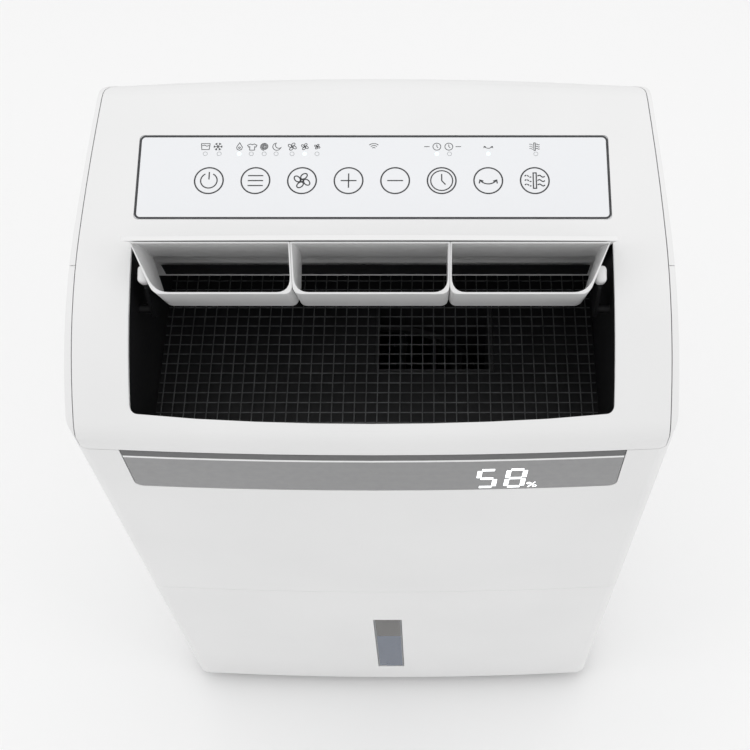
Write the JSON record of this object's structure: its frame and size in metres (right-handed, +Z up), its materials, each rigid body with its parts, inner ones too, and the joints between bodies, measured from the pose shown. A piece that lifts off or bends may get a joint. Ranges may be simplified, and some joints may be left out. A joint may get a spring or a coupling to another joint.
{
  "type": "dehumidifier",
  "caption": "Upright room dehumidifier on castors with a sloping touch panel, hinged air flap, silver display strip and a pull-out water tank.",
  "frame": {"origin": "on the floor, under the middle of the object's box", "axes": "+Z up; the front, with the display and the tank, faces -Y; +X is on the right as seen from the front"},
  "size_m": [0.392, 0.268, 0.6281],
  "materials": {
    "white_plastic": "satin white moulded plastic with a very fine grain",
    "panel_film": "printed cool-white overlay film, half gloss",
    "silver_trim": "satin silver strip with a fine horizontal brush",
    "black_plastic": "matt black moulded plastic",
    "grey_plastic": "matt grey moulded plastic",
    "natural_plastic": "milky natural plastic",
    "smoked_window": "smoked clear plastic, polished",
    "aluminium": "bare sheet fins",
    "copper": "drawn copper tube",
    "steel": "zinc-plated steel",
    "black_enamel": "black enamelled steel",
    "circuit_board": "green lacquered board",
    "filter_fleece": "dark filter fleece in a frame",
    "rubber": "soft black rubber"
  },
  "bodies": {
    "body": {"front_shell": "white_plastic", "rear_shell": "white_plastic", "top_cover": "white_plastic", "grip_left": "white_plastic", "grip_right": "white_plastic", "drain_nozzle": "white_plastic", "control_panel": "panel_film", "display_trim": "silver_trim", "outlet_duct": "black_plastic", "outlet_grille": "black_plastic", "tank_switch": "black_plastic", "base_pan": "grey_plastic", "partition": "grey_plastic", "drip_tray": "grey_plastic", "fan_scroll": "grey_plastic", "scroll_cover": "grey_plastic", "power_box": "grey_plastic", "evaporator": "aluminium", "condenser": "aluminium", "run_capacitor": "aluminium", "suction_pipe": "copper", "discharge_pipe": "copper", "capillary_tube": "copper", "fan_motor": "steel", "flap_motor": "steel", "compressor": "black_enamel", "accumulator": "black_enamel", "control_board": "circuit_board", "display_board": "circuit_board", "filter_cassette": "filter_fleece", "compressor_mount": "rubber", "cord_gland": "rubber"},
    "flap": {"flap_plate": "white_plastic", "flap_louvre": "white_plastic", "flap_pin_left": "steel", "flap_drive_shaft": "steel"},
    "fan": {"fan_impeller": "grey_plastic", "fan_shaft": "steel"},
    "tank": {"tank_bucket": "natural_plastic", "tank_front": "white_plastic", "tank_lid": "grey_plastic", "level_window": "smoked_window"},
    "tank_handle": {"tank_handle": "grey_plastic"},
    "tank_float": {"tank_float": "natural_plastic"},
    "rear_cover": {"rear_cover": "white_plastic", "pre_filter": "filter_fleece"},
    "drain_cap": {"drain_cap": "grey_plastic"},
    "castor_front_left": {"castor_fork_front_left": "grey_plastic", "castor_axle_front_left": "steel"},
    "wheel_front_left": {"castor_wheel_front_left": "black_plastic"},
    "castor_front_right": {"castor_fork_front_right": "grey_plastic", "castor_axle_front_right": "steel"},
    "wheel_front_right": {"castor_wheel_front_right": "black_plastic"},
    "castor_back_left": {"castor_fork_back_left": "grey_plastic", "castor_axle_back_left": "steel"},
    "wheel_back_left": {"castor_wheel_back_left": "black_plastic"},
    "castor_back_right": {"castor_fork_back_right": "grey_plastic", "castor_axle_back_right": "steel"},
    "wheel_back_right": {"castor_wheel_back_right": "black_plastic"}
  },
  "joints": [
    {"name": "flap_hinge", "type": "hinge", "parent": "body", "child": "flap", "pos_m": [0, -0.0383, 0.547], "axis": [1, 0, 0], "range_deg": [0, 93]},
    {"name": "fan_spin", "type": "hinge", "parent": "body", "child": "fan", "pos_m": [0, -0.0425, 0.37], "axis": [0, 1, 0], "continuous": true},
    {"name": "tank_slide", "type": "slide", "parent": "body", "child": "tank", "axis": [0, -1, 0], "range_m": [0, 0.22]},
    {"name": "tank_handle_hinge", "type": "hinge", "parent": "tank", "child": "tank_handle", "pos_m": [0, -0.0945, 0.2088], "axis": [1, 0, 0], "range_deg": [0, 90]},
    {"name": "float_hinge", "type": "hinge", "parent": "tank", "child": "tank_float", "pos_m": [0.105, -0.029, 0.156], "axis": [-1, 0, 0], "range_deg": [0, 30]},
    {"name": "rear_cover_slide", "type": "slide", "parent": "body", "child": "rear_cover", "axis": [0, 1, 0], "range_m": [0, 0.1]},
    {"name": "drain_cap_slide", "type": "slide", "parent": "body", "child": "drain_cap", "axis": [0, 1, 0], "range_m": [0, 0.04]},
    {"name": "castor_swivel_front_left", "type": "hinge", "parent": "body", "child": "castor_front_left", "pos_m": [-0.15, -0.0885, 0.029], "axis": [0, 0, 1], "continuous": true},
    {"name": "wheel_spin_front_left", "type": "hinge", "parent": "castor_front_left", "child": "wheel_front_left", "pos_m": [-0.15, -0.0805, 0.0119], "axis": [1, 0, 0], "continuous": true},
    {"name": "castor_swivel_front_right", "type": "hinge", "parent": "body", "child": "castor_front_right", "pos_m": [0.15, -0.0885, 0.029], "axis": [0, 0, 1], "continuous": true},
    {"name": "wheel_spin_front_right", "type": "hinge", "parent": "castor_front_right", "child": "wheel_front_right", "pos_m": [0.15, -0.0805, 0.0119], "axis": [1, 0, 0], "continuous": true},
    {"name": "castor_swivel_back_left", "type": "hinge", "parent": "body", "child": "castor_back_left", "pos_m": [-0.15, 0.0635, 0.029], "axis": [0, 0, 1], "continuous": true},
    {"name": "wheel_spin_back_left", "type": "hinge", "parent": "castor_back_left", "child": "wheel_back_left", "pos_m": [-0.15, 0.0715, 0.0119], "axis": [1, 0, 0], "continuous": true},
    {"name": "castor_swivel_back_right", "type": "hinge", "parent": "body", "child": "castor_back_right", "pos_m": [0.15, 0.0635, 0.029], "axis": [0, 0, 1], "continuous": true},
    {"name": "wheel_spin_back_right", "type": "hinge", "parent": "castor_back_right", "child": "wheel_back_right", "pos_m": [0.15, 0.0715, 0.0119], "axis": [1, 0, 0], "continuous": true}
  ]
}
